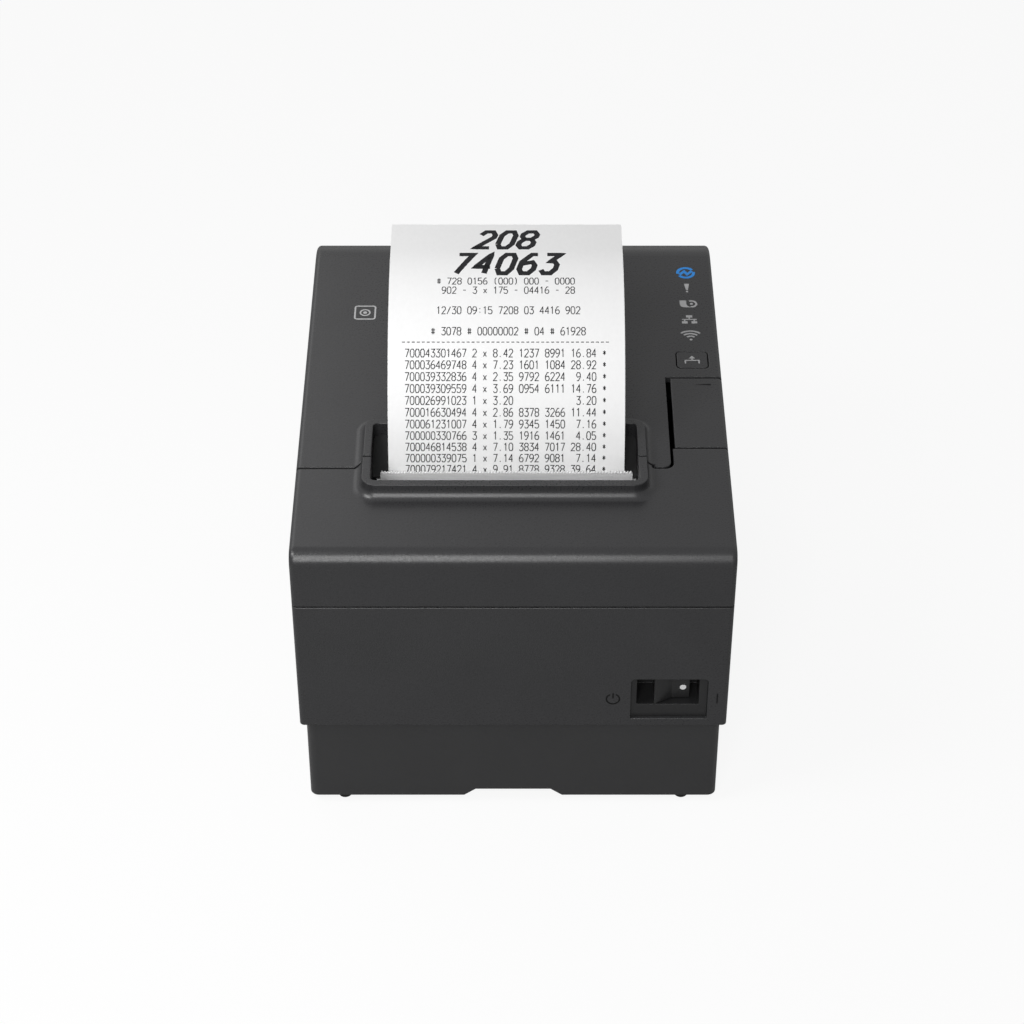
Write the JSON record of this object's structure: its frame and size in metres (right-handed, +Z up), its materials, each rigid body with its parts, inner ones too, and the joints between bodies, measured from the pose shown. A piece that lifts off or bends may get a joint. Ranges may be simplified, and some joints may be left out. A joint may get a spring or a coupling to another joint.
{
  "type": "receipt printer",
  "caption": "Desktop thermal receipt printer with a hinged roll cover, sliding cutter cover, cover-release lever, power rocker and a printed slip curling out of its slot.",
  "frame": {"origin": "on the table, under the middle of the case's width and depth", "axes": "+X to the printer's right as seen from the front, +Y to the rear, +Z up; the front face looks along -Y"},
  "size_m": [0.1454, 0.185, 0.1608],
  "materials": {
    "case_plastic": "charcoal plastic with a fine moulded grain",
    "base_plastic": "dark charcoal plastic",
    "switch_plastic": "black plastic, slight sheen",
    "button_plastic": "charcoal plastic",
    "gear_plastic": "natural white acetal",
    "socket_plastic": "black plastic",
    "socket_metal": "plated steel shell",
    "rubber": "black rubber",
    "steel": "plated sheet steel",
    "blade_steel": "ground steel",
    "motor_metal": "drawn steel can",
    "bush_brass": "sintered bronze",
    "head_aluminium": "anodised aluminium",
    "head_ceramic": "glazed ceramic strip",
    "board_green": "solder-masked board",
    "paper": "smooth thermal paper",
    "cardboard": "wound cardboard"
  },
  "bodies": {
    "chassis": {"base_tray": "base_plastic", "board_parts": "socket_plastic", "board_screws": "steel", "cross_bar": "steel", "cutter_base": "steel", "cutter_motor": "motor_metal", "data_port": "socket_metal", "drawer_port": "socket_plastic", "feed_motor": "motor_metal", "gear_stud": "steel", "head_heat_sink": "head_aluminium", "head_springs": "steel", "hinge_pins": "steel", "interface_board": "board_green", "interface_plate": "steel", "left_frame": "steel", "lever_bracket": "base_plastic", "lever_pin": "steel", "lever_spring": "steel", "lower_case": "case_plastic", "main_board": "board_green", "network_port": "socket_metal", "paper_sensor": "socket_plastic", "paper_web": "paper", "power_inlet": "socket_plastic", "right_frame": "steel", "roll_pan": "base_plastic", "rubber_feet": "rubber", "switch_housing": "switch_plastic", "tear_bar": "blade_steel", "thermal_head": "head_ceramic"},
    "roll_cover": {"roll_cover_shell": "case_plastic", "platen_carrier": "base_plastic", "platen_bushes": "bush_brass", "fixed_blade": "blade_steel", "exit_guide": "base_plastic", "key_board": "board_green", "key_switch": "socket_plastic", "light_pipes": "gear_plastic", "latch_pin": "steel", "receipt": "paper"},
    "platen": {"platen_shaft": "steel", "platen_rubber": "rubber", "platen_gear": "gear_plastic"},
    "drive_gear": {"drive_gear": "gear_plastic"},
    "motor_pinion": {"motor_pinion": "gear_plastic", "motor_shaft": "steel"},
    "paper_roll": {"paper_roll": "paper", "roll_core": "cardboard"},
    "cutter_cover": {"cutter_cover": "case_plastic"},
    "open_lever": {"open_lever": "case_plastic", "latch_hook": "steel"},
    "feed_button": {"feed_button": "button_plastic"},
    "power_rocker": {"power_rocker": "switch_plastic"},
    "cutter_blade": {"cutter_blade": "blade_steel"},
    "cutter_gear": {"cutter_gear": "gear_plastic", "cutter_shaft": "steel"}
  },
  "joints": [
    {"name": "roll_cover_hinge", "type": "hinge", "parent": "chassis", "child": "roll_cover", "pos_m": [0, 0.089, 0.0912], "axis": [-1, 0, 0], "range_deg": [0, 87]},
    {"name": "platen_spin", "type": "hinge", "parent": "roll_cover", "child": "platen", "pos_m": [0, -0.038, 0.096], "axis": [1, 0, 0], "continuous": true},
    {"name": "drive_gear_spin", "type": "hinge", "parent": "chassis", "child": "drive_gear", "pos_m": [0, -0.038, 0.0703], "axis": [1, 0, 0], "continuous": true},
    {"name": "motor_pinion_spin", "type": "hinge", "parent": "chassis", "child": "motor_pinion", "pos_m": [0, -0.05764, 0.06315], "axis": [1, 0, 0], "continuous": true},
    {"name": "paper_roll_spin", "type": "hinge", "parent": "chassis", "child": "paper_roll", "pos_m": [-0.00225, 0.0175, 0.0568], "axis": [1, 0, 0], "continuous": true},
    {"name": "cutter_cover_slide", "type": "slide", "parent": "chassis", "child": "cutter_cover", "axis": [0, -1, 0], "range_m": [0, 0.03]},
    {"name": "open_lever_press", "type": "hinge", "parent": "chassis", "child": "open_lever", "pos_m": [0.0632, -0.0353, 0.11124], "axis": [-1, 0, 0], "range_deg": [0, 5], "stiffness_Nm_per_rad": 0.3, "springref_deg": -3.44, "deforming": ["lever_spring"]},
    {"name": "feed_button_press", "type": "slide", "parent": "roll_cover", "child": "feed_button", "axis": [0, 0.0523, -0.9986], "range_m": [0, 0.0008], "stiffness_N_per_m": 400, "springref_m": -0.0005},
    {"name": "power_rocker_tilt", "type": "hinge", "parent": "chassis", "child": "power_rocker", "pos_m": [0.05355, -0.0855, 0.05325], "axis": [0, 0, -1], "range_deg": [0, 20]},
    {"name": "cutter_blade_slide", "type": "slide", "parent": "chassis", "child": "cutter_blade", "axis": [0, 1, 0], "range_m": [0, 0.009]},
    {"name": "cutter_gear_turn", "type": "hinge", "parent": "chassis", "child": "cutter_gear", "pos_m": [0.0497, -0.0621, 0.1025], "axis": [0, 0, 1], "range_deg": [-54.5, 0]}
  ],
  "couplings": [
    {"joint": "drive_gear_spin", "follows": "platen_spin", "ratio": -0.6},
    {"joint": "motor_pinion_spin", "follows": "platen_spin", "ratio": 2},
    {"joint": "paper_roll_spin", "follows": "platen_spin", "ratio": 0.25},
    {"joint": "cutter_gear_turn", "follows": "cutter_blade_slide", "rad_per_m": -104.17}
  ]
}
